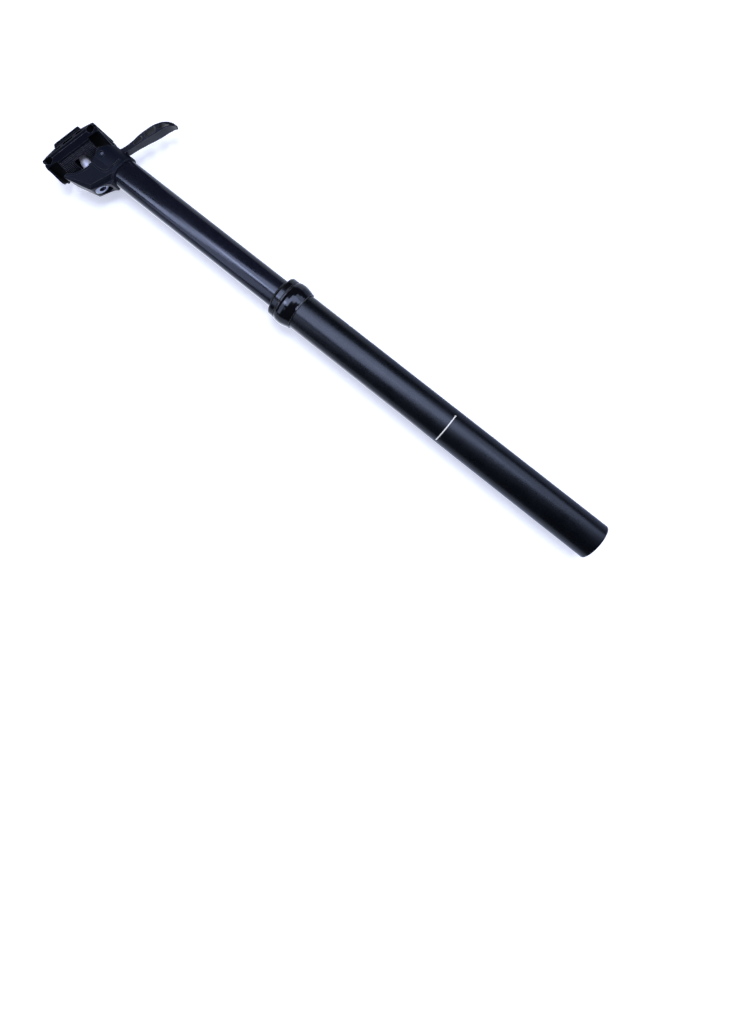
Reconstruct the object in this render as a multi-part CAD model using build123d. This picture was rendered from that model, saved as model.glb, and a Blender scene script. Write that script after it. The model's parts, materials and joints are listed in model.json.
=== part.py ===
from build123d import *
import math
import os

# ---------------------------------------------------------------------------
# Dropper seatpost with an under-saddle lever, shown fully extended.
# Frame: origin at the centre of the outer tube's bottom end, +Z up the post,
# +X forward (the side the lever is on), +Y to the left.  Millimetres.
# ---------------------------------------------------------------------------

# outer tube
OUTER_R = 15.45          # 30.9 mm seat tube size
OUTER_BORE = 13.60
OUTER_TOP = 310.0        # upper end, inside the collar
SHOULDER = 293.0         # lower edge of the collar
THREAD_R = 15.05         # turned-down end of the tube, inside the collar
KEY_SLOT_R = 14.55
KEY_SLOT_W = 3.30

# collar
COLLAR_TOP = 314.6
COLLAR_R_TOP = 17.6
COLLAR_R_MID = 18.7
COLLAR_R_LOW = 16.8

# stanchion
STAN_R = 12.50
STAN_BORE = 11.00
STAN_LOW = 222.0
Z0 = 486.0               # lower edge of the head's neck
STAN_TOP = Z0 + 5.5
TRAVEL = 150.0

# cartridge inside the stanchion
CART_LOW = 180.0
CART_R = 8.0
CART_BORE = 7.05
ROD_R = 4.0
RUN = 0.05               # running clearance on a radius

# head
NECK_R = 14.1
HEAD_HALF = 13.3         # half width of the casting's flat sides
PAD_HALF = 13.9          # half width over the raised side pads
TAU = math.radians(18.0)           # the saddle clamp leans forward by this
MX, MZ = -14.5, Z0 + 30.5          # middle of the cradle's mouth
CRADLE_R = 26.0
CRADLE_HALF = 17.0
TOOTH_DEG = 3.3
TOOTH_H = 0.70

# lever
PIVOT_X, PIVOT_Z = 1.0, Z0 + 20.0
NOSE_DX, NOSE_DZ, NOSE_R = -2.0, -2.2, 1.4      # finger that pushes the release pin
PIVOT_R = 1.2
LEVER_ROOT_HALF = 4.2
SLOT_HALF = 4.7

# saddle clamp
REST_GAP = 0.35          # clamp's lowest line above the cradle's two tips
CLAMP_DEPTH = 14.0
RAIL_R = 3.5
RAIL_HALF_SPACING = 22.0
CLAMP_HALF_U = 27.2      # half length across the two rails
CLAMP_HALF_V = 19.0      # half length along the rails
TOOTHED_HALF_U = 16.5
END_WALL = 25.6             # inner face of the clamp's end walls
NEAR_BAND = -6.4         # lower edge of the clamp's plain side bands, from the rails' centres
LOBE_R = 23.4
BOLT_R = 4.0
SLEEVE_R = 4.6

os.makedirs("parts", exist_ok=True)
made = {}


def put(name, shape):
    made[name] = shape
    export_step(shape, "parts/" + name + ".step")


def cyl(r, z1, z2, x=0.0, y=0.0):
    return Pos(x, y, (z1 + z2) / 2) * Cylinder(r, z2 - z1)


def tube(ro, ri, z1, z2):
    return cyl(ro, z1, z2) - cyl(ri, z1 - 1, z2 + 1)


def ring_profile(points):
    # closed (radius, z) outline turned about the post's axis
    face = make_face(Polyline(*[(r, 0, z) for r, z in points], close=True))
    return revolve(face, Axis.Z, 360)


def xz_prism(points, half, y0=0.0):
    # closed (x, z) outline made into a slab of the given half width in Y
    face = make_face(Polyline(*[(x, y0, z) for x, z in points], close=True))
    return extrude(face, amount=half, dir=(0, 1, 0), both=True)


# clamp frame: u along the boat, n along the bolt, v across (along the rails)
U = Vector(math.cos(TAU), 0, -math.sin(TAU))
N = Vector(math.sin(TAU), 0, math.cos(TAU))
M = Vector(MX, 0, MZ)
CLAMP = Plane(origin=(MX, 0, MZ), x_dir=(U.X, U.Y, U.Z), z_dir=(N.X, N.Y, N.Z))
CLAMP_LOC = Location(CLAMP)


def un_point(u, n):
    p = M + U * u + N * n
    return (p.X, p.Z)


def local_cyl(r, t1, t2):
    # cylinder on the bolt's axis, heights measured from the cradle's mouth
    return CLAMP_LOC * (Pos(0, 0, (t1 + t2) / 2) * Cylinder(r, t2 - t1))


def toothed_arc(r, h, half_deg, step_deg, cz, up=False):
    # (a, b) points of a toothed arc that bulges towards -b, centre (0, cz)
    pts = []
    k = int(half_deg / step_deg)
    for i in range(-k, k + 1):
        a = math.radians(i * step_deg)
        a2 = math.radians((i + 0.5) * step_deg)
        r1, r2 = (r, r - h)
        pts.append((r1 * math.sin(a), cz - r1 * math.cos(a)))
        if i < k:
            pts.append((r2 * math.sin(a2), cz - r2 * math.cos(a2)))
    return pts


# ---------------------------------------------------------------------------
# outer tube group
# ---------------------------------------------------------------------------
outer = ring_profile([
    (OUTER_BORE, 0.6), (OUTER_BORE + 0.5, 0.0), (OUTER_R - 0.8, 0.0),
    (OUTER_R - 0.25, 0.25), (OUTER_R, 0.8),
    (OUTER_R, SHOULDER - 0.2), (THREAD_R, SHOULDER - 0.2), (THREAD_R, OUTER_TOP - 0.6),
    (THREAD_R - 0.4, OUTER_TOP), (OUTER_BORE, OUTER_TOP)])
for k in range(3):
    a = 60 + 120 * k
    key_slot = Rot(0, 0, a) * Box(KEY_SLOT_R, KEY_SLOT_W, 195, align=(Align.MIN, Align.CENTER, Align.MIN))
    slot_tool = (Pos(0, 0, 60) * key_slot) & cyl(KEY_SLOT_R, 55, 260)
    outer = outer - slot_tool
put("outer_tube", outer)

collar = ring_profile([
    (THREAD_R, SHOULDER), (COLLAR_R_LOW, SHOULDER), (COLLAR_R_LOW + 0.15, SHOULDER + 0.9),
    (COLLAR_R_LOW + 0.35, SHOULDER + 1.5), (COLLAR_R_LOW + 1.15, SHOULDER + 4.5),
    (COLLAR_R_MID - 0.1, SHOULDER + 7.6), (COLLAR_R_MID, SHOULDER + 9.6),
    (COLLAR_R_MID - 0.15, SHOULDER + 12.2), (COLLAR_R_MID - 0.75, SHOULDER + 14.4),
    (COLLAR_R_TOP - 0.7, SHOULDER + 14.9), (COLLAR_R_TOP - 0.7, SHOULDER + 15.7),
    (COLLAR_R_TOP, SHOULDER + 16.2), (COLLAR_R_TOP, COLLAR_TOP - 1.4),
    (COLLAR_R_TOP - 0.5, COLLAR_TOP - 0.4), (COLLAR_R_TOP - 1.3, COLLAR_TOP),
    (14.9, COLLAR_TOP), (14.9, OUTER_TOP + 0.03), (THREAD_R, OUTER_TOP + 0.03)])
# three spanner notches in the lower lip
for k in range(3):
    notch = Rot(0, 0, 30 + 120 * k) * (Pos(COLLAR_R_LOW + 0.9, 0, SHOULDER) * Box(2.0, 3.0, 2.6))
    collar = collar - notch
put("collar", collar)

wiper = ring_profile([
    (STAN_R + RUN, OUTER_TOP + 0.03), (14.85, OUTER_TOP + 0.03), (14.85, COLLAR_TOP + 0.25),
    (14.3, COLLAR_TOP + 0.7), (13.3, COLLAR_TOP + 1.0), (STAN_R + RUN, COLLAR_TOP + 2.1)])
put("wiper_seal", wiper)

put("upper_bushing", tube(OUTER_BORE, STAN_R + RUN, 284.0, OUTER_TOP))
plug = ring_profile([
    (ROD_R, 7.0), (9.0, 7.0), (9.0, 1.2), (OUTER_BORE - 0.5, 1.2), (OUTER_BORE, 1.8),
    (OUTER_BORE, 15.0), (OUTER_BORE - 0.8, 15.8), (6.0, 15.8), (ROD_R, 15.8)])
put("base_plug", plug)

rod = cyl(ROD_R, 1.3, 196.0)
put("cartridge_rod", rod)
nut_pts = extrude(RegularPolygon(6.5, 6, major_radius=False), amount=4.0)
rod_nut = (Pos(0, 0, 1.9) * nut_pts) - cyl(ROD_R, 0, 10)
put("rod_nut", rod_nut)
put("rod_washer", tube(8.2, ROD_R, 5.93, 6.97))

put("bump_stop", tube(8.4, ROD_R + 0.1, 15.85, 27.0))

piston = tube(CART_BORE - RUN, ROD_R, 188.0, 195.4) - (tube(9, 6.2, 190.6, 192.6))
put("main_piston", piston)
put("main_piston_seal", tube(CART_BORE - RUN, 6.22, 190.62, 192.58))
cap_nut = Pos(0, 0, 195.45) * extrude(RegularPolygon(5.2, 6, major_radius=False), amount=4.0)
cap_nut = cap_nut - cyl(ROD_R, 195, 196.0)
put("piston_nut", cap_nut)

# ---------------------------------------------------------------------------
# stanchion group
# ---------------------------------------------------------------------------
stan = ring_profile([
    (STAN_BORE, STAN_LOW), (STAN_R - 0.5, STAN_LOW), (STAN_R, STAN_LOW + 0.5),
    (STAN_R, STAN_LOW + 2.0), (STAN_R - 0.4, STAN_LOW + 2.0), (STAN_R - 0.4, STAN_LOW + 9.0),
    (STAN_R, STAN_LOW + 9.0), (STAN_R, STAN_TOP), (STAN_BORE, STAN_TOP)])
key_r1, key_r2 = 11.9, KEY_SLOT_R - 0.12
keys = []
for k in range(3):
    a = 60 + 120 * k
    key = Rot(0, 0, a) * (Pos(key_r1, 0, STAN_LOW + 12) * Box(
        key_r2 - key_r1, KEY_SLOT_W - 0.16, 16.0, align=(Align.MIN, Align.CENTER, Align.MIN)))
    key = key & cyl(key_r2, STAN_LOW, STAN_LOW + 60)
    keys.append(key)
    stan = stan - key
put("stanchion_tube", stan)
put("guide_keys", Compound(children=[k.solid() for k in keys]))
put("lower_bushing", tube(OUTER_BORE - RUN, STAN_R - 0.4, STAN_LOW + 2.0, STAN_LOW + 9.0))

put("cartridge_tube", tube(CART_R, CART_BORE, CART_LOW, Z0 - 24))
gland = tube(CART_BORE, ROD_R + RUN, CART_LOW, CART_LOW + 7.4)
gland = gland - tube(5.6, ROD_R, CART_LOW + 2.6, CART_LOW + 4.8)
put("cartridge_gland", gland)
put("rod_seal", tube(5.58, ROD_R + RUN, CART_LOW + 2.62, CART_LOW + 4.78))
put("cartridge_ring", tube(STAN_BORE, CART_R, STAN_LOW + 0.5, STAN_LOW + 8.0))

cart_head = (cyl(CART_BORE, Z0 - 34, Z0 - 24) + cyl(8.6, Z0 - 24, Z0 - 20.02)
             + cyl(5.98, Z0 - 20.02, Z0 - 12))
cart_head = cart_head - cyl(1.35, Z0 - 40, Z0) - cyl(3.2, Z0 - 19, Z0 - 10)
put("cartridge_head", cart_head)

# head casting ---------------------------------------------------------------
outline = [(14.5, Z0), (14.4, Z0 + 15.9), (13.7, Z0 + 17.2), (10.3, Z0 + 20.9),
           un_point(20.2, -0.35), un_point(19.0, 0.0), un_point(-17.6, 0.0),
           (-34.9, Z0 + 36.9), (-29.1, Z0 + 11.2), (-16.8, Z0 + 3.0), (-14.5, Z0)]
side = make_face(Polyline(*[(x, 0, z) for x, z in outline], close=True))
for (vx, vz), size in (((-34.9, Z0 + 36.9), 1.5), ((-29.1, Z0 + 11.2), 4.5), ((-16.8, Z0 + 3.0), 5.0)):
    corner = [v for v in side.vertices() if abs(v.X - vx) < 0.05 and abs(v.Z - vz) < 0.05]
    try:
        side = fillet(corner, size).face()
    except Exception as err:
        print("side outline fillet skipped", size, type(err).__name__, err)
slab = extrude(side, amount=HEAD_HALF, dir=(0, 1, 0), both=True)
back = [e for e in slab.edges() if abs(abs(e.center().Y) - HEAD_HALF) < 0.05 and e.center().X < -15.6
        and abs(e.tangent_at(0).Y) < 0.1 and e.center().Z < Z0 + 36.5]
print("back edges", [(round(e.center().X, 1), round(e.center().Z - Z0, 1), round(e.length, 1)) for e in back])
for size in (2.0, 1.5):
    try:
        slab = fillet(back, size)
        print("head back edges rounded", size)
        break
    except Exception as err:
        print("head back fillet skipped", size, type(err).__name__)
# seen from above the casting is a rectangle whose front is the round neck
plan = (Pos(0, 0, Z0 + 0.6) * Cylinder(NECK_R, 60, align=(Align.CENTER, Align.CENTER, Align.MIN))
        + Pos(-20, 0, Z0 + 0.01) * Box(40, 2 * HEAD_HALF, 60, align=(Align.CENTER, Align.CENTER, Align.MIN)))
body = slab & plan
# the flat sides end on a steep line at the back and on a sloping one underneath; beyond each line the casting is
# bevelled or scooped inwards. Profiles: half width, depth
REAR_DX, REAR_DZ = -0.3099, 0.9508
rear_bevel = [(13.5, -0.25), (12.4, 0.6), (11.1, 1.7), (10.1, 3.2), (9.6, 5.0), (9.6, 12.0), (20.0, 12.0), (20.0, -0.25)]
SCOOP_X, SCOOP_Z, SCOOP_DX, SCOOP_DZ = -25.4, Z0 + 11.5, 0.8979, -0.4402
scoop = [(13.5, -0.25), (12.6, 0.2), (10.9, 0.9), (9.5, 1.8), (8.7, 2.9), (8.5, 9.0), (20.0, 9.0), (20.0, -0.25)]
for s in (-1, 1):
    wedge = make_face(Polyline(*[(SCOOP_X - 7 * SCOOP_DX + d * SCOOP_DZ, s * y, SCOOP_Z - 7 * SCOOP_DZ - d * SCOOP_DX)
                                 for y, d in scoop], close=True))
    body = body - extrude(wedge, amount=34.0, dir=(SCOOP_DX, 0, SCOOP_DZ))
    wedge = make_face(Polyline(*[(SCOOP_X - 8 * REAR_DX - d * REAR_DZ, s * y, SCOOP_Z - 8 * REAR_DZ + d * REAR_DX)
                                 for y, d in rear_bevel], close=True))
    body = body - extrude(wedge, amount=40.0, dir=(REAR_DX, 0, REAR_DZ))
neck = ring_profile([(0, Z0), (NECK_R - 0.6, Z0), (NECK_R, Z0 + 0.6), (NECK_R, Z0 + 16.5), (0, Z0 + 16.5)])
neck = neck & xz_prism(outline, 20)
body = body + neck
# raised side pads round the pivot
pad_outline = [(8.6, Z0 + 5.0), (3.4, Z0 + 5.1), (-1.0, Z0 + 5.7), (-5.2, Z0 + 6.9), (-7.6, Z0 + 8.1),
               (-9.0, Z0 + 9.9), (-9.6, Z0 + 12.4), (-9.8, Z0 + 16.0), (-9.8, Z0 + 26.5), (3.2, Z0 + 26.5),
               (9.4, Z0 + 21.0), (9.6, Z0 + 18.0), (9.6, Z0 + 5.2)]
groove_outer = [(9.0, Z0 + 3.5), (3.4, Z0 + 3.5), (-1.3, Z0 + 4.1), (-6.0, Z0 + 5.4), (-8.8, Z0 + 6.9),
                (-10.5, Z0 + 9.2), (-11.2, Z0 + 12.2), (-11.4, Z0 + 16.0), (-11.4, Z0 + 28.0), (-9.8, Z0 + 28.0),
                (-9.8, Z0 + 16.0), (-9.6, Z0 + 12.4), (-9.0, Z0 + 9.9), (-7.6, Z0 + 8.1), (-5.2, Z0 + 6.9),
                (-1.0, Z0 + 5.7), (3.4, Z0 + 5.1), (9.0, Z0 + 5.0)]
pad_slab = xz_prism(pad_outline, PAD_HALF)
pad_keep = (Pos(0, 0, Z0) * Cylinder(NECK_R, 40, align=(Align.CENTER, Align.CENTER, Align.MIN)))
pad_slab = pad_slab & pad_keep & xz_prism(outline, 20)
groove = xz_prism(groove_outer, 20) - xz_prism(groove_outer, HEAD_HALF - 0.75)
body = body - groove
# the groove runs on along the cradle's edge to the rear tip
rim_pts = []
for i in range(0, 15):
    a = math.radians(-44 + 52 * i / 14)
    rim_pts.append(un_point((CRADLE_R + 2.3) * math.sin(a), math.sqrt(CRADLE_R ** 2 - CRADLE_HALF ** 2) - (CRADLE_R + 2.3) * math.cos(a)))
rim_pts = rim_pts + [un_point(0, 10), un_point(-24, 10)]
rim_cut = xz_prism(rim_pts, 20) - xz_prism(rim_pts, HEAD_HALF - 0.75)
rim_cut = rim_cut & (Pos(-30.4, 0, Z0 + 30) * Box(40, 60, 60))
body = body - rim_cut
body = body + pad_slab
# toothed cradle
cz = math.sqrt(CRADLE_R ** 2 - CRADLE_HALF ** 2)
arc = toothed_arc(CRADLE_R + TOOTH_H * 0.5, TOOTH_H, 43.0, TOOTH_DEG, cz)
arc_xz = [un_point(a, b) for a, b in arc]
arc_xz = [un_point(-24, 12)] + arc_xz + [un_point(24, 12)]
cradle_cut = xz_prism(arc_xz, 30)
body = body - cradle_cut
# everything of the head stays below the cradle's mouth
cap = CLAMP_LOC * (Pos(0, 0, 15) * Box(90, 60, 30))
body = body - cap
# socket and spigot for the stanchion
body = body - (cyl(STAN_R, Z0 - 1, STAN_TOP) )
spigot = cyl(STAN_BORE, Z0 - 20, STAN_TOP)
body = body + spigot
body = body - cyl(6.0, Z0 - 21, Z0 - 12) - cyl(3.2, Z0 - 13, Z0 - 8) - cyl(1.35, Z0 - 10, Z0 + 16)
# bolt bore, washer seat
body = body - local_cyl(SLEEVE_R, -17.6, 4) - local_cyl(7.6, -40, -17.5)
# lever slot
slot_outline = [(-3.4, Z0 + 15.6), (-3.4, Z0 + 21.0), (-1.8, Z0 + 22.8), (1.0, Z0 + 23.0), (3.2, Z0 + 22.8),
                (9.4, Z0 + 19.4), (20, Z0 + 14.2), (20, Z0 + 6.4), (12.4, Z0 + 6.4),
                (8.0, Z0 + 9.6), (3.6, Z0 + 14.2), (2.0, Z0 + 15.6)]
body = body - xz_prism(slot_outline, SLOT_HALF)
# pivot bore, recessed at both ends
pivot_axis = Location(Plane(origin=(PIVOT_X, 0, PIVOT_Z), x_dir=(1, 0, 0), z_dir=(0, 1, 0)))
body = body - pivot_axis * Cylinder(PIVOT_R, 60)
for s in (-1, 1):
    body = body - pivot_axis * (Pos(0, 0, s * 18.4) * Cylinder(2.05, 12))
put("saddle_head", body.solids().sort_by(SortBy.VOLUME)[-1])
print("head solids", len(body.solids()), "volume", body.volume)

pin = pivot_axis * Cylinder(PIVOT_R, 24.6)
pin = pin - pivot_axis * Cylinder(0.6, 30)
put("pivot_pin", pin)

sleeve = local_cyl(SLEEVE_R, -14.0, 9.0) - local_cyl(BOLT_R + 0.06, -20, 20)
put("bolt_sleeve", sleeve)

# ---------------------------------------------------------------------------
# lever
# ---------------------------------------------------------------------------
upper_edge = [(8.6, 17.3), (14.0, 13.5), (19.8, 10.6), (24.6, 8.9), (29.3, 7.5), (34.1, 5.9),
              (38.9, 3.9), (43.7, 1.8), (48.5, -1.0), (52.8, -4.3), (55.8, -7.7), (57.9, -11.6)]
lower_edge = [(56.4, -15.0), (54.6, -12.5), (51.9, -10.4), (48.2, -8.3), (43.5, -6.2), (38.8, -3.8),
              (34.1, -1.3), (29.3, 1.1), (24.6, 3.3), (19.8, 5.6), (14.0, 8.3), (9.6, 11.3)]
rise = lambda x: max(0.0, 0.035 * (x - 15))    # the blade's outer part rises a little
up = Spline(*[(x, 0, Z0 + z + rise(x)) for x, z in upper_edge])
lo = Spline(*[(x, 0, Z0 + z + rise(x)) for x, z in lower_edge])
tip = ThreePointArc(*[(x, 0, Z0 + z + rise(x)) for x, z in ((57.9, -11.6), (58.1, -14.1), (56.4, -15.0))])
root = Polyline((9.6, 0, Z0 + 11.3), (2.9, 0, Z0 + 17.2), (1.0, 0, Z0 + 20.0), (2.5, 0, Z0 + 22.1), (8.6, 0, Z0 + 17.3))
blade_face = make_face([up, tip, lo, root])
blade = extrude(blade_face, amount=7.0, dir=(0, 1, 0), both=True)
hub = pivot_axis * Cylinder(2.6, 14)
nose_x, nose_z = PIVOT_X + NOSE_DX, PIVOT_Z + NOSE_DZ
nose_axis = Location(Plane(origin=(nose_x, 0, nose_z), x_dir=(1, 0, 0), z_dir=(0, 1, 0)))
nose = nose_axis * Cylinder(NOSE_R, 14)
web = xz_prism([(nose_x - 1.0, nose_z + 0.95), (nose_x + 0.95, nose_z - 1.0), (PIVOT_X + 1.8, PIVOT_Z - 1.8),
                (PIVOT_X - 1.8, PIVOT_Z + 1.8)], 7.0)
lever = blade + hub + nose + web
# plan shape: narrow in the head, wide at the finger end
half_plan = [(-8, LEVER_ROOT_HALF), (16, LEVER_ROOT_HALF), (24, 4.4), (36, 5.7), (47, 6.0), (52.5, 5.3), (55.6, 4.0),
             (57.2, 2.5), (57.8, 1.1)]
plan_l = make_face(Polyline(*[(x, y, Z0 - 40) for x, y in half_plan], *[(x, -y, Z0 - 40) for x, y in reversed(half_plan)],
                            close=True))
lever = lever & extrude(plan_l, amount=90, dir=(0, 0, 1))
windows = [
    [(23.1, 6.1), (24.3, 7.4), (31.9, 5.4), (33.2, 4.2), (31.2, 2.1), (29.6, 2.4), (23.4, 5.3)],
    [(34.0, 1.1), (36.0, 3.5), (37.6, 3.4), (44.5, 0.3), (46.1, -1.3), (43.0, -4.3), (41.2, -3.9), (34.3, -0.1)],
    [(46.2, -4.4), (48.0, -2.9), (49.1, -3.0), (52.1, -6.0), (54.2, -9.2), (54.2, -10.2), (53.3, -10.3),
     (50.0, -7.9), (46.4, -5.7)],
]
for w in windows:
    tool = xz_prism([(x, Z0 + z + rise(x)) for x, z in w], 12)
    along = [e for e in tool.edges() if abs(abs(e.tangent_at(0).Y) - 1) < 1e-3]
    try:
        tool = fillet(along, 0.5)
    except Exception as err:
        print("window fillet skipped", type(err).__name__)
    lever = lever - tool
lever = lever - pivot_axis * Cylinder(PIVOT_R + RUN, 40)
put("lever", lever.solids().sort_by(SortBy.VOLUME)[-1])
print("lever solids", len(lever.solids()))

# release pin and its spring
pin_top = PIVOT_Z + NOSE_DZ - NOSE_R - 0.03
release = cyl(1.30, Z0 - 31, pin_top) + cyl(2.9, Z0 - 9.4, Z0 - 8.2)
put("release_pin", release)
wire = Helix(pitch=2.1, height=8.4, radius=2.25, center=(0, 0, Z0 - 18.45))
section = Plane(origin=wire @ 0, z_dir=wire % 0) * Circle(0.36)
spring = sweep(section, path=wire)
put("release_spring", spring.solid() if len(spring.solids()) == 1 else spring)

# floating piston
fp = cyl(CART_BORE - RUN, Z0 - 102, Z0 - 92) - tube(9, 6.0, Z0 - 98.2, Z0 - 95.8)
put("floating_piston", fp)
put("floating_piston_seal", tube(CART_BORE - RUN, 6.02, Z0 - 98.18, Z0 - 95.82))

# ---------------------------------------------------------------------------
# saddle clamp, turned a quarter turn on its bolt: rails run along Y
# ---------------------------------------------------------------------------
T_PART = REST_GAP + CLAMP_DEPTH          # height of the rails' centres


def clamp_solid_vn(points, half_u, u0=0.0):
    # closed (v, n) outline made into a bar along u; n from the rails' centres
    face = make_face(Polyline(*[(u0 - half_u, v, T_PART + n) for v, n in points], close=True))
    bar = extrude(face, amount=2 * half_u, dir=(1, 0, 0))
    return CLAMP_LOC * bar


def clamp_solid_un(points, half_v, v0=0.0):
    face = make_face(Polyline(*[(u, v0, T_PART + n) for u, n in points], close=True))
    bar = extrude(face, amount=half_v, dir=(0, 1, 0), both=True)
    return CLAMP_LOC * bar


cc = -CLAMP_DEPTH + CRADLE_R              # arc centre above the rails' centres
half_deg = math.degrees(math.asin(CLAMP_HALF_V / CRADLE_R))
teeth = toothed_arc(CRADLE_R, TOOTH_H, half_deg, TOOTH_DEG, cc)
edge_n = teeth[0][1]
teeth = [(v, n) for v, n in teeth if n < NEAR_BAND - 0.15]
bar_pts = ([(-CLAMP_HALF_V, 0), (-CLAMP_HALF_V, NEAR_BAND + 0.3), (-CLAMP_HALF_V + 0.3, NEAR_BAND)] + teeth
           + [(CLAMP_HALF_V - 0.3, NEAR_BAND), (CLAMP_HALF_V, NEAR_BAND + 0.3), (CLAMP_HALF_V, 0)])
toothed = clamp_solid_vn(bar_pts, TOOTHED_HALF_U)
lobe_half = [(-CLAMP_HALF_V, -5.5), (-17.6, -5.9), (-15.4, -6.3), (-12.6, -7.5), (-9.6, -9.2), (-6.8, -10.9), (-4.4, -12.0),
             (-2.2, -12.6), (0, -12.8)]
lobe_pts = [(-CLAMP_HALF_V, 0)] + lobe_half + [(-v, n) for v, n in reversed(lobe_half[:-1])] + [(CLAMP_HALF_V, 0)]
lobes = clamp_solid_vn(lobe_pts, CLAMP_HALF_U)
lower = toothed + lobes
# outer lips drop away beside the rails, tip corners are rounded in plan
for s in (-1, 1):
    lower = lower - CLAMP_LOC * (Pos(s * 30.0, 0, T_PART + 2.0) * Box(10.4, 60, 6.4))
    lower = lower - clamp_solid_un([(s * 27.6, -2.6), (s * 25.9, -0.9), (s * 27.6, -0.9)], 30)
    rail = CLAMP_LOC * (Pos(s * RAIL_HALF_SPACING, 0, T_PART) * (Rot(90, 0, 0) * Cylinder(RAIL_R, 60)))
    lower = lower - rail
    # open recess under the rail's groove, between the toothed block and a thin end wall
    lower = lower - clamp_solid_vn([(-20, -4.9), (20, -4.9), (20, -30), (-20, -30)],
                                   (END_WALL - TOOTHED_HALF_U) / 2, s * (END_WALL + TOOTHED_HALF_U) / 2)
    # shallow hollow in the end wall, inside its rim
    pts = [(-14.2, -5.0), (-12.0, -6.0), (-9.0, -7.8), (-6.2, -9.5), (-4.0, -10.5), (-2.0, -11.1), (0, -11.3)]
    pts = pts + [(-v, n) for v, n in reversed(pts[:-1])]
    face = make_face(Polyline(*[(s * (CLAMP_HALF_U + 1), v, T_PART + n) for v, n in pts], close=True))
    pocket = CLAMP_LOC * extrude(face, amount=1.9, dir=(-s, 0, 0))
    lower = lower - pocket
# long hole for the bolt: narrow across the boat, long along the rails
slot_tool = CLAMP_LOC * (Pos(0, 0, 8) * Box(11.4, 24.0, 40))
lower = lower - slot_tool
put("lower_clamp", lower.solids().sort_by(SortBy.VOLUME)[-1])
print("lower clamp solids", len(lower.solids()), lower.volume)

GAP = 0.06
arch = [(-27.2, 0.7), (-27.15, 1.6), (-26.5, 3.1), (-25.0, 4.4), (-22.0, 5.7), (-18.5, 7.1), (-15.5, 8.2), (-12.0, 8.9),
        (-6.5, 9.2), (0, 9.3), (6.5, 9.2), (12.0, 8.9), (15.5, 8.2), (18.5, 7.1), (22.0, 5.7), (25.0, 4.4), (26.5, 3.1),
        (27.15, 1.6), (27.2, 0.7), (24.9, 0.7), (24.9, GAP), (-24.9, GAP), (-24.9, 0.7)]
upper = clamp_solid_un(arch, CLAMP_HALF_V)
# the sides slope back towards the cross nut
for s in (-1, 1):
    upper = upper - clamp_solid_vn([(s * 19.1, 2.3), (s * 19.1, 13.0), (s * 8.9, 13.0)], 30)
# each sloping side has three shallow windows
for s in (-1, 1):
    rail = CLAMP_LOC * (Pos(s * RAIL_HALF_SPACING, 0, T_PART) * (Rot(90, 0, 0) * Cylinder(RAIL_R, 60)))
    upper = upper - rail
win_mid = [(-5.4, 4.1), (5.4, 4.1), (5.0, 7.6), (-5.0, 7.6)]
win_side = [(8.0, 4.1), (15.8, 3.9), (16.8, 4.2), (16.4, 5.0), (12.6, 7.0), (8.4, 7.5)]
for v0 in (-1, 1):
    for pts in (win_mid, win_side, [(-u, n) for u, n in win_side]):
        tool = clamp_solid_un(pts, 7.0, v0 * (CLAMP_HALF_V - 5.5))
        along = [e for e in tool.edges() if abs(abs(e.tangent_at(0).Y) - 1) < 1e-3]
        try:
            tool = fillet(along, 0.45)
        except Exception as err:
            print("clamp window fillet skipped", type(err).__name__)
        upper = upper - tool
# seat for the cross nut
NUT_HALF_U, NUT_HALF_V, NUT_LOW, NUT_TOP = 13.7, 11.4, 6.4, 14.9
upper = upper - CLAMP_LOC * (Pos(0, 0, T_PART + NUT_LOW + 10) * Box(2 * NUT_HALF_U + 0.4, 2 * NUT_HALF_V + 1.6, 20))
upper = upper - local_cyl(5.0, T_PART - 5, T_PART + 20)
try:
    crown = [e for e in upper.edges() if e.length > 36 and abs(abs(e.tangent_at(0).Y) - 1) < 1e-2]
except Exception:
    crown = []
put("upper_clamp", upper.solids().sort_by(SortBy.VOLUME)[-1])
print("upper clamp solids", len(upper.solids()), upper.volume)

nut_profile = [(-NUT_HALF_U, NUT_LOW + 0.02), (NUT_HALF_U, NUT_LOW + 0.02), (NUT_HALF_U, 11.2), (NUT_HALF_U - 0.5, 13.0),
               (NUT_HALF_U - 1.6, NUT_TOP), (-NUT_HALF_U + 1.6, NUT_TOP), (-NUT_HALF_U + 0.5, 13.0), (-NUT_HALF_U, 11.2)]
cross = clamp_solid_un(nut_profile, NUT_HALF_V)
half_trim = [(NUT_HALF_V, -2), (NUT_HALF_V, 10.9), (NUT_HALF_V - 0.35, 11.3), (NUT_HALF_V - 1.1, 11.3),
             (NUT_HALF_V - 1.3, 11.6), (NUT_HALF_V - 1.5, 13.7), (NUT_HALF_V - 2.9, NUT_TOP + 0.1)]
trim = half_trim + [(-v, n) for v, n in reversed(half_trim)]
cross = cross & clamp_solid_vn(trim, 20)
cross = cross - local_cyl(BOLT_R + RUN, T_PART - 5, T_PART + 30)
put("clamp_nut", cross)

# bolt and washer
T_SEAT = -17.5
bolt = local_cyl(BOLT_R, T_SEAT - 3.0, T_PART + NUT_TOP - 0.8)
headb = local_cyl(7.0, T_SEAT - 6.2, T_SEAT - 1.55)
ring_edges = headb.edges().filter_by(GeomType.CIRCLE).sort_by(Axis.Z)
try:
    headb = fillet(ring_edges[0], 1.2)
except Exception as err:
    print("bolt head fillet skipped", type(err).__name__)
bolt = bolt + headb
hexcut = CLAMP_LOC * (Pos(0, 0, T_SEAT - 7.0) * extrude(RegularPolygon(3.0, 6, major_radius=False), amount=4.2))
bolt = bolt - hexcut
put("clamp_bolt", bolt)
washer = local_cyl(7.5, T_SEAT - 1.5, T_SEAT - 0.03) - local_cyl(BOLT_R, T_SEAT - 5, T_SEAT + 5)
put("bolt_washer", washer)

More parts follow.
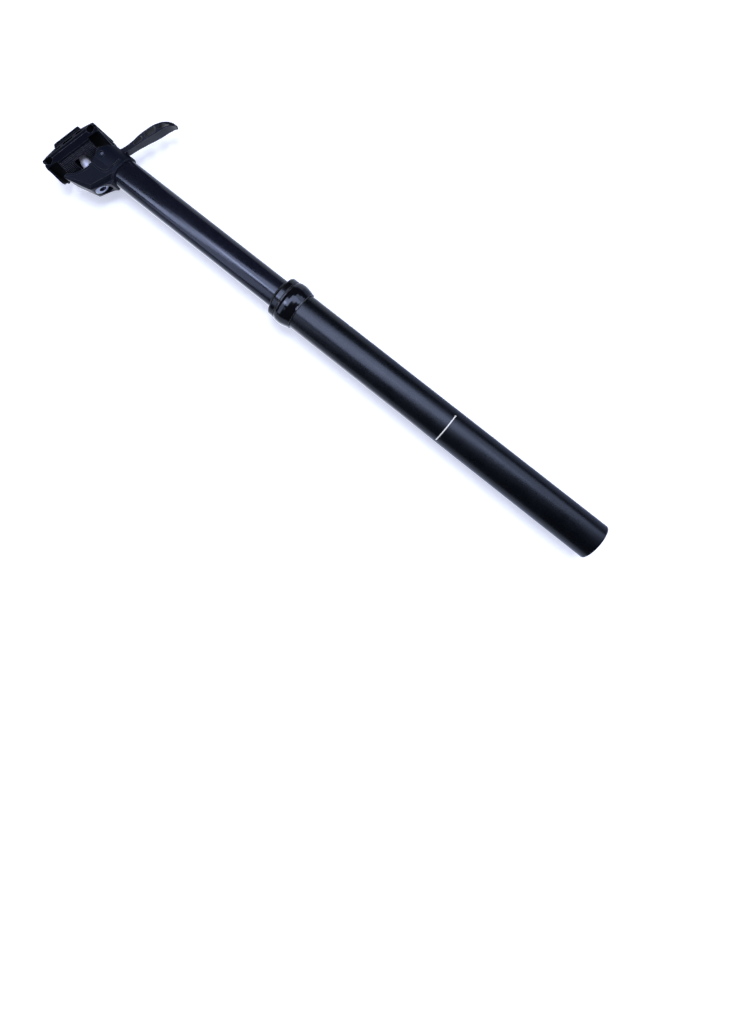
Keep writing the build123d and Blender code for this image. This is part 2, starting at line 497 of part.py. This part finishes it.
rc = M + N * T_PART
print("rail centre", rc)
for s in (-1, 1):
    p = rc + U * (s * RAIL_HALF_SPACING)
    print("rail", s, round(p.X, 4), round(p.Y, 4), round(p.Z, 4))
print("U", U, "N", N, "nodes", len(made))
for name, shape in made.items():
    bb = shape.bounding_box()
    print(f"{name:22s} solids {len(shape.solids())} valid {shape.is_valid} vol {shape.volume:9.1f} "
          f"x {bb.min.X:6.1f}..{bb.max.X:6.1f} z {bb.min.Z:6.1f}..{bb.max.Z:6.1f}")
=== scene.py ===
import json
import math

import bpy
from mathutils import Matrix, Vector

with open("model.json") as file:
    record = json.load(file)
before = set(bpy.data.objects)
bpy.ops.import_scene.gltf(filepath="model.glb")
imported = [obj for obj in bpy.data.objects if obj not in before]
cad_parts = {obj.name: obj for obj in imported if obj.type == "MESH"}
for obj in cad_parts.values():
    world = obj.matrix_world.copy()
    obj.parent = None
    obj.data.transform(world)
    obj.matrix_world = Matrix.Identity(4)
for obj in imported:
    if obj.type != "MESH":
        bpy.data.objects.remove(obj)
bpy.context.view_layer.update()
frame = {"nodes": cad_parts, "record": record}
nodes = frame["nodes"]
scene = bpy.context.scene

# ---------------------------------------------------------------- camera
# Rotation rows are the picture's right, up and back directions in the part's frame; the focal length is in
# pixels of a 1025 px high picture.
RIGHT = Vector((0.61587, 0.14836, -0.77398))
UP = Vector((0.78167, 0.00986, 0.62388))
BACK = Vector((0.10015, -0.98889, -0.10986))
CAM = Vector((-0.007489, -0.564228, 0.175729))
FOCAL_PX = 696.54
CENTRE_PX = (303.97, 414.87)        # where the lens points in the 750 x 1025 picture

cam_data = bpy.data.cameras.new("camera")
cam_data.sensor_fit = "AUTO"
cam_data.sensor_width = 36.0
cam_data.lens = FOCAL_PX / 1025.0 * 36.0
cam_data.shift_x = (375.0 - CENTRE_PX[0]) / 1025.0
cam_data.shift_y = (CENTRE_PX[1] - 512.5) / 1025.0
cam_data.clip_start = 0.01
cam_data.clip_end = 30.0
cam = bpy.data.objects.new("camera", cam_data)
scene.collection.objects.link(cam)
m = Matrix.Identity(4)
for i in range(3):
    m[i][0], m[i][1], m[i][2], m[i][3] = RIGHT[i], UP[i], BACK[i], CAM[i]
cam.matrix_world = m
scene.camera = cam
scene.view_settings.view_transform = "Standard"
scene.view_settings.look = "None"


# ---------------------------------------------------------------- shader helpers
class Shader:
    """A small wrapper that adds nodes to one material and links them."""

    def __init__(self, name):
        self.mat = bpy.data.materials.new(name)
        self.mat.use_nodes = True
        self.t = self.mat.node_tree
        self.t.nodes.clear()
        self.out = self.t.nodes.new("ShaderNodeOutputMaterial")
        self.bsdf = self.t.nodes.new("ShaderNodeBsdfPrincipled")
        self.t.links.new(self.bsdf.outputs[0], self.out.inputs[0])
        self.coord = self.t.nodes.new("ShaderNodeTexCoord").outputs["Object"]

    def add(self, kind, **values):
        n = self.t.nodes.new(kind)
        for k, v in values.items():
            setattr(n, k, v)
        return n

    def put(self, socket, value):
        if isinstance(value, bpy.types.NodeSocket):
            self.t.links.new(value, socket)
        else:
            socket.default_value = value

    def mapping(self, scale=(1, 1, 1), rotation=(0, 0, 0), source=None):
        n = self.add("ShaderNodeMapping")
        self.t.links.new(source or self.coord, n.inputs["Vector"])
        n.inputs["Scale"].default_value = scale
        n.inputs["Rotation"].default_value = rotation
        return n.outputs[0]

    def noise(self, scale, detail=3.0, rough=0.55, vector=None, distortion=0.0):
        n = self.add("ShaderNodeTexNoise")
        self.t.links.new(vector or self.coord, n.inputs["Vector"])
        n.inputs["Scale"].default_value = scale
        n.inputs["Detail"].default_value = detail
        n.inputs["Roughness"].default_value = rough
        n.inputs["Distortion"].default_value = distortion
        return n.outputs["Fac"]

    def math(self, op, a, b=0.0, c=0.0, clamp=False):
        n = self.add("ShaderNodeMath", operation=op, use_clamp=clamp)
        self.put(n.inputs[0], a)
        self.put(n.inputs[1], b)
        if len(n.inputs) > 2:
            self.put(n.inputs[2], c)
        return n.outputs[0]

    def remap(self, v, a, b, c, d, smooth=False):
        n = self.add("ShaderNodeMapRange")
        n.interpolation_type = "SMOOTHSTEP" if smooth else "LINEAR"
        self.put(n.inputs["Value"], v)
        n.inputs["From Min"].default_value = a
        n.inputs["From Max"].default_value = b
        n.inputs["To Min"].default_value = c
        n.inputs["To Max"].default_value = d
        return n.outputs[0]

    def mix(self, fac, a, b):
        n = self.add("ShaderNodeMix", data_type="RGBA")
        self.put(n.inputs[0], fac)
        self.put(n.inputs[6], (*a, 1.0) if isinstance(a, tuple) else a)
        self.put(n.inputs[7], (*b, 1.0) if isinstance(b, tuple) else b)
        return n.outputs[2]

    def xyz(self):
        n = self.add("ShaderNodeSeparateXYZ")
        self.t.links.new(self.coord, n.inputs[0])
        return n.outputs

    def edges(self, radius, low, high):
        """0 on flat faces, 1 on sharp convex and concave edges."""
        bev = self.add("ShaderNodeBevel", samples=6)
        bev.inputs["Radius"].default_value = radius
        geo = self.add("ShaderNodeNewGeometry")
        dot = self.add("ShaderNodeVectorMath", operation="DOT_PRODUCT")
        self.t.links.new(bev.outputs[0], dot.inputs[0])
        self.t.links.new(geo.outputs["Normal"], dot.inputs[1])
        return self.remap(dot.outputs["Value"], low, high, 1.0, 0.0)

    def bump(self, height, strength, distance, round_edges=0.0):
        n = self.add("ShaderNodeBump")
        n.inputs["Strength"].default_value = strength
        n.inputs["Distance"].default_value = distance
        self.t.links.new(height, n.inputs["Height"])
        if round_edges:
            bev = self.add("ShaderNodeBevel", samples=6)
            bev.inputs["Radius"].default_value = round_edges
            self.t.links.new(bev.outputs[0], n.inputs["Normal"])
        self.t.links.new(n.outputs[0], self.bsdf.inputs["Normal"])

    def set(self, **values):
        names = {"color": "Base Color", "rough": "Roughness", "metal": "Metallic", "coat": "Coat Weight",
                 "coat_rough": "Coat Roughness", "spec": "Specular IOR Level", "aniso": "Anisotropic",
                 "sheen": "Sheen Weight"}
        for k, v in values.items():
            if isinstance(v, tuple):
                v = (*v, 1.0)
            self.put(self.bsdf.inputs[names[k]], v)


def anodised(name, dark, light, rough, rough_spread, grain, grain_scale, metal=0.35, wear_and_highlight=(0.32, 0.33, 0.37),
             wear_and_highlight_amount=0.35, edge=0.00035, round_edges=0.00025, coat=0.0, stretch=(1, 1, 1),
             spec=0.4):
    """Black anodised aluminium: fine blasted or turned grain, slow colour drift, lighter edges (part wear, part painted
    highlight), faint handling marks.
    """
    s = Shader(name)
    vec = s.mapping(stretch)
    fine = s.noise(grain_scale, 2.0, 0.6, vec)
    slow = s.noise(38.0, 4.0, 0.6)
    marks = s.noise(260.0, 6.0, 0.7, s.mapping((1, 1, 0.22)))
    color = s.mix(s.remap(slow, 0.3, 0.7, 0.0, 1.0), dark, light)
    color = s.mix(s.remap(fine, 0.35, 0.65, 0.0, 0.35), color, tuple(min(1.0, c * 1.9 + 0.004) for c in light))
    # lighter edges: part wear, part painted highlight standing in for the glints that edges catch
    edge_mask = s.edges(edge, 0.86, 0.995)
    edge_mask = s.math("MULTIPLY", edge_mask, s.remap(marks, 0.35, 0.62, 0.25, 1.0), clamp=True)
    edge_mask = s.math("MULTIPLY", edge_mask, wear_and_highlight_amount)
    color = s.mix(edge_mask, color, wear_and_highlight)
    r = s.remap(slow, 0.3, 0.7, rough - rough_spread, rough + rough_spread)
    r = s.math("ADD", r, s.remap(marks, 0.4, 0.75, 0.0, rough_spread))
    r = s.math("ADD", r, s.remap(fine, 0.3, 0.7, -rough_spread * 0.6, rough_spread * 0.6), clamp=True)
    s.set(color=color, rough=r, metal=metal, coat=coat, coat_rough=0.06, spec=spec)
    s.bump(fine, grain, 0.00004, round_edges)
    return s


def turned_metal(name, base, second, rough, spread, grain, scale, stretch, edge=0.0002, metal=1.0, aniso=0.0):
    """Bright machined or brushed metal: streaks along the tool marks, small stains, brighter edges."""
    s = Shader(name)
    streak = s.noise(scale, 3.0, 0.6, s.mapping(stretch))
    blot = s.noise(180.0, 4.0, 0.6)
    color = s.mix(s.remap(blot, 0.35, 0.7, 0.0, 0.7), base, second)
    color = s.mix(s.remap(streak, 0.35, 0.65, 0.0, 0.35), color, tuple(c * 0.62 for c in base))
    edge_mask = s.edges(edge, 0.86, 0.995)
    color = s.mix(s.math("MULTIPLY", edge_mask, 0.5), color, (0.86, 0.86, 0.88))
    r = s.remap(streak, 0.3, 0.7, rough - spread, rough + spread)
    r = s.math("ADD", r, s.remap(blot, 0.45, 0.75, 0.0, spread), clamp=True)
    s.set(color=color, rough=r, metal=metal, aniso=aniso, spec=0.5)
    s.bump(streak, grain, 0.00003, 0.00015)
    return s


def rubber(name, dark, light, rough):
    s = Shader(name)
    fine = s.noise(2600.0, 3.0, 0.6)
    slow = s.noise(140.0, 3.0, 0.6)
    color = s.mix(s.remap(slow, 0.3, 0.7, 0.0, 1.0), dark, light)
    s.set(color=color, rough=s.remap(slow, 0.3, 0.7, rough - 0.08, rough + 0.1), metal=0.0, spec=0.35)
    s.bump(fine, 0.35, 0.00005, 0.0002)
    return s


# ---------------------------------------------------------------- materials
LINE_Z = 0.1434

tube = anodised("tube_black", (0.0004, 0.0010, 0.0024), (0.0009, 0.0017, 0.0036), 0.27, 0.035, 0.10, 2600.0, metal=0.0, spec=0.24,
                wear_and_highlight=(0.16, 0.17, 0.20), wear_and_highlight_amount=0.5, stretch=(1, 1, 0.35))
x, y, z = tube.xyz()


def band(s, v, centre, half, soft):
    """1 within half of centre, falling to 0 over soft."""
    d = s.math("ABSOLUTE", s.math("SUBTRACT", v, centre))
    return s.remap(d, half, half + soft, 1.0, 0.0)


angle = tube.math("ARCTAN2", x, tube.math("MULTIPLY", y, -1.0))   # 0 on the -Y side
facing = band(tube, angle, -0.19, 0.93, 0.02)
line = tube.math("MULTIPLY", band(tube, z, LINE_Z, 0.00042, 0.00008), facing)
old = tube.bsdf.inputs["Base Color"].links[0].from_socket
tube.set(color=tube.mix(tube.math("MULTIPLY", line, 0.93), old, (0.78, 0.79, 0.82)))

collar = anodised("collar_black", (0.0016, 0.0018, 0.0034), (0.0026, 0.0030, 0.0050), 0.12, 0.025, 0.05, 2200.0, metal=0.0, spec=0.26,
                  wear_and_highlight=(0.35, 0.36, 0.42), wear_and_highlight_amount=0.6, edge=0.0005, round_edges=0.0003)
stanchion = anodised("stanchion_black", (0.0034, 0.0041, 0.0098), (0.0050, 0.0057, 0.0132), 0.15, 0.025, 0.05, 2400.0,
                     metal=0.0, spec=0.26, wear_and_highlight=(0.2, 0.2, 0.24), wear_and_highlight_amount=0.4, stretch=(1, 1, 0.12))
head = anodised("head_black", (0.0017, 0.0028, 0.0088), (0.0029, 0.0046, 0.0124), 0.42, 0.05, 0.38, 3600.0, metal=0.0, spec=0.07,
                wear_and_highlight=(0.26, 0.28, 0.34), wear_and_highlight_amount=0.45)
clamp = anodised("clamp_black", (0.0013, 0.0020, 0.0060), (0.0025, 0.0035, 0.0088), 0.44, 0.05, 0.42, 3600.0, metal=0.0, spec=0.02,
                 wear_and_highlight=(0.30, 0.32, 0.40), wear_and_highlight_amount=0.55)
lever = anodised("lever_black", (0.0022, 0.0027, 0.0076), (0.0038, 0.0046, 0.0116), 0.36, 0.07, 0.30, 3000.0, metal=0.0,
                 wear_and_highlight=(0.30, 0.32, 0.40), wear_and_highlight_amount=0.5, spec=0.13)


def along(s, direction, offset):
    """Distance along a direction from the clamp's turning point, in metres."""
    n = s.add("ShaderNodeVectorMath", operation="DOT_PRODUCT")
    s.t.links.new(s.coord, n.inputs[0])
    n.inputs[1].default_value = direction
    point = Vector((-0.0145, 0.0, 0.5165))
    return s.math("SUBTRACT", n.outputs["Value"], point.dot(Vector(direction)) + offset)


# painted shade: the recesses under the rail grooves and inside the windows and the nut's seat get a nearly black, rough
# colour in place of the shade that falls there
cu = clamp.math("ABSOLUTE", along(clamp, (0.951057, 0.0, -0.309017), 0.0))
cn = along(clamp, (0.309017, 0.0, 0.951057), 0.01435)
cv = clamp.math("ABSOLUTE", clamp.xyz()[1])
recess_painted_shade = clamp.math("MULTIPLY", clamp.remap(cn, -0.00485, -0.0047, 1.0, 0.0), clamp.remap(cu, 0.0163, 0.01645, 0.0, 1.0))
recess_painted_shade = clamp.math("MULTIPLY", recess_painted_shade, clamp.remap(cu, 0.02562, 0.0258, 1.0, 0.0))
face = clamp.math("SUBTRACT", clamp.math("MULTIPLY_ADD", cn, -0.953, 0.02129), cv)
window_and_seat_painted_shade = clamp.math("MULTIPLY", clamp.remap(face, 0.0003, 0.0008, 0.0, 1.0), clamp.remap(cn, 0.0036, 0.0039, 0.0, 1.0))
window_and_seat_painted_shade = clamp.math("MULTIPLY", window_and_seat_painted_shade, clamp.remap(cn, 0.0084, 0.0088, 1.0, 0.0))
dark = clamp.math("MAXIMUM", recess_painted_shade, window_and_seat_painted_shade, clamp=True)
old = clamp.bsdf.inputs["Base Color"].links[0].from_socket
clamp.set(color=clamp.mix(clamp.math("MULTIPLY", dark, 0.92), old, (0.0003, 0.0004, 0.0004)))
old = clamp.bsdf.inputs["Roughness"].links[0].from_socket
# painted shade: metallic 1 over the nearly black colour also takes the reflections out of these recesses
clamp.set(rough=clamp.math("MAXIMUM", old, clamp.math("MULTIPLY", dark, 0.85)), metal=dark)

# painted shade as well on the walls inside the lever's windows, which lie within 2.6 mm of a curve through their
# middles
lx, ly, lz = lever.xyz()
curve = lever.math("MULTIPLY_ADD", lever.math("MULTIPLY_ADD", lever.math("MULTIPLY_ADD", lx, -293.8740, 22.57452), lx, -0.815467), lx, 0.5024265)
lever_window_painted_shade = lever.remap(lever.math("ABSOLUTE", lever.math("SUBTRACT", lz, curve)), 0.0024, 0.0027, 1.0, 0.0)
lever_window_painted_shade = lever.math("MULTIPLY", lever_window_painted_shade, lever.remap(lever.math("ABSOLUTE", ly), 0.0036, 0.0042, 1.0, 0.0))
lever_window_painted_shade = lever.math("MULTIPLY", lever_window_painted_shade, lever.remap(lx, 0.0226, 0.0230, 0.0, 1.0), clamp=True)
old = lever.bsdf.inputs["Base Color"].links[0].from_socket
# painted shade: a nearly black, fully metallic colour inside the lever's windows
lever.set(color=lever.mix(lever.math("MULTIPLY", lever_window_painted_shade, 0.9), old, (0.0003, 0.0003, 0.0005)), metal=lever_window_painted_shade)

sleeve = turned_metal("sleeve_aluminium", (0.74, 0.76, 0.94), (0.62, 0.64, 0.82), 0.34, 0.06, 0.3, 900.0, (1, 1, 9), metal=0.35)
inner = turned_metal("inner_aluminium", (0.62, 0.63, 0.65), (0.52, 0.53, 0.55), 0.30, 0.06, 0.3, 700.0, (1, 1, 12))
steel = turned_metal("plain_steel", (0.40, 0.41, 0.47), (0.28, 0.29, 0.34), 0.26, 0.06, 0.3, 1400.0, (3, 3, 3))
rod = turned_metal("rod_steel", (0.72, 0.72, 0.74), (0.66, 0.66, 0.69), 0.12, 0.03, 0.1, 900.0, (1, 1, 0.15))
brass = turned_metal("key_brass", (0.72, 0.52, 0.24), (0.60, 0.42, 0.18), 0.28, 0.06, 0.2, 900.0, (6, 6, 1))
bushing = rubber("bushing_polymer", (0.12, 0.12, 0.13), (0.17, 0.17, 0.18), 0.5)
seal = rubber("seal_rubber", (0.010, 0.010, 0.011), (0.018, 0.018, 0.020), 0.62)
bumper = rubber("bump_rubber", (0.035, 0.035, 0.036), (0.055, 0.055, 0.056), 0.7)

SLOTS = {
    "tube_black": tube, "collar_black": collar, "stanchion_black": stanchion, "head_black": head,
    "clamp_black": clamp, "lever_black": lever, "sleeve_aluminium": sleeve, "inner_aluminium": inner,
    "plain_steel": steel, "rod_steel": rod, "key_brass": brass, "bushing_polymer": bushing, "seal_rubber": seal,
    "bump_rubber": bumper,
}
for sub in frame["record"]["subparts"]:
    o = nodes[sub["node"]]
    mat = SLOTS[sub["material_slot"]].mat
    if not o.material_slots:
        o.data.materials.append(mat)
    for ms in o.material_slots:
        ms.material = mat


# ---------------------------------------------------------------- pale surface the post lies on
surface = Shader("pale_surface")
cloud = surface.noise(3.0, 3.0, 0.5)
surface.set(color=surface.mix(surface.remap(cloud, 0.3, 0.7, 0.0, 1.0), (0.81, 0.845, 0.975), (0.84, 0.87, 0.985)),
            rough=0.9, metal=0.0, spec=0.1)
surface.bsdf.inputs["Emission Color"].default_value = (0.80, 0.84, 1.0, 1.0)
surface.bsdf.inputs["Emission Strength"].default_value = 0.44
back = surface.add("ShaderNodeNewGeometry")
clear = surface.add("ShaderNodeBsdfTransparent")
pick = surface.add("ShaderNodeMixShader")
surface.t.links.new(back.outputs["Backfacing"], pick.inputs[0])
surface.t.links.new(surface.bsdf.outputs[0], pick.inputs[1])
surface.t.links.new(clear.outputs[0], pick.inputs[2])
surface.t.links.new(pick.outputs[0], surface.out.inputs[0])

FLOOR_Y = 0.0295
mesh = bpy.data.meshes.new("pale_surface")
w = 4.0
mesh.from_pydata([(-w, FLOOR_Y, -w), (w, FLOOR_Y, -w), (w, FLOOR_Y, w), (-w, FLOOR_Y, w)], [], [(0, 1, 2, 3)])
mesh.materials.append(surface.mat)
floor = bpy.data.objects.new("pale_surface", mesh)
scene.collection.objects.link(floor)
floor.visible_shadow = False


# ---------------------------------------------------------------- light
def area(name, target, direction, distance, size, size_y, power, color=(1, 1, 1), roll=None):
    data = bpy.data.lights.new(name, "AREA")
    data.shape = "RECTANGLE"
    data.size = size
    data.size_y = size_y
    data.energy = power
    data.color = color
    o = bpy.data.objects.new(name, data)
    scene.collection.objects.link(o)
    d = direction.normalized()
    side = (roll or Vector((0, 0, 1))).cross(d).normalized()
    top = d.cross(side)
    mm = Matrix.Identity(4)
    p = target + d * distance
    for i in range(3):
        mm[i][0], mm[i][1], mm[i][2], mm[i][3] = side[i], top[i], d[i], p[i]
    o.matrix_world = mm
    return o


mid = Vector((0, 0, 0.30))


def strip(name, start, end, width, radiance, color=(1, 1, 1), aim=mid, diffuse=False):
    """A long soft box between two points, facing the post, with the brightness that a reflection of it shows."""
    a, b = Vector(start), Vector(end)
    centre = (a + b) / 2
    long_axis = (b - a).normalized()
    face = aim - centre
    face = (face - long_axis * face.dot(long_axis)).normalized()
    side = long_axis.cross(-face)
    data = bpy.data.lights.new(name, "AREA")
    data.shape = "RECTANGLE"
    data.size = (b - a).length
    data.size_y = width
    data.energy = radiance * math.pi * data.size * data.size_y
    data.color = color
    o = bpy.data.objects.new(name, data)
    scene.collection.objects.link(o)
    mm = Matrix.Identity(4)
    for k in range(3):
        mm[k][0], mm[k][1], mm[k][2], mm[k][3] = long_axis[k], -side[k], -face[k], centre[k]
    o.matrix_world = mm
    o.visible_diffuse = diffuse
    return o


strip("box_low", (1.45, -0.50, -0.50), (1.02, -1.08, 0.00), 0.66, 4.5, (0.54, 0.65, 1.0))
strip("box_mid", (1.02, -1.10, 0.00), (0.42, -1.42, 0.40), 0.76, 9.0, (0.54, 0.65, 1.0))
strip("box_up", (0.44, -1.42, 0.37), (-0.52, -1.38, 0.70), 0.70, 10.6, (0.55, 0.65, 1.0))
strip("box_high", (-0.22, -1.42, 0.74), (-1.25, -0.75, 1.18), 0.22, 13.8, (0.56, 0.66, 1.0))
strip("box_soft", (-0.80, -1.22, 0.66), (-1.62, -0.15, 1.04), 0.42, 3.6, (0.56, 0.66, 1.0))
# What the post's far edges reflect: pale cards behind it, seen in reflections in the floor's place.
for name, x0, x1, z0, z1, level, tint in (
        ("card_left", -3.0, 0.0, -1.6, 2.2, 1.20, (0.62, 0.72, 1.0)),
        ("card_right_low", 0.0, 3.0, -1.6, 0.32, 0.78, (0.52, 0.62, 1.0)),
        ("card_right_high", 0.0, 3.0, 0.32, 2.2, 1.05, (0.68, 0.76, 1.0))):
    zc = (z0 + z1) / 2
    card = strip(name, (x0, 0.30, zc), (x1, 0.30, zc), z1 - z0, level, tint, aim=Vector(((x0 + x1) / 2, -1.0, zc)))
    card.visible_camera = False
floor.visible_glossy = False
key = area("key", mid, BACK + UP * 0.125, 1.5, 0.36, 0.36, 12.3, (0.91, 0.95, 1.0))
key.visible_glossy = False
rear = area("rear_fill", mid, Vector((-0.3, 1.0, 0.4)), 2.0, 2.0, 2.0, 14.0, (0.97, 0.97, 1.0))

world = bpy.data.worlds.new("studio")
scene.world = world
world.use_nodes = True
wt = world.node_tree
wt.nodes.clear()
wo = wt.nodes.new("ShaderNodeOutputWorld")
bg = wt.nodes.new("ShaderNodeBackground")
bg.inputs["Color"].default_value = (0.93, 0.93, 1.0, 1.0)
bg.inputs["Strength"].default_value = 0.6
wt.links.new(bg.outputs[0], wo.inputs[0])
world.cycles_visibility.glossy = False      # the gloss shows the soft boxes and the pale surface only
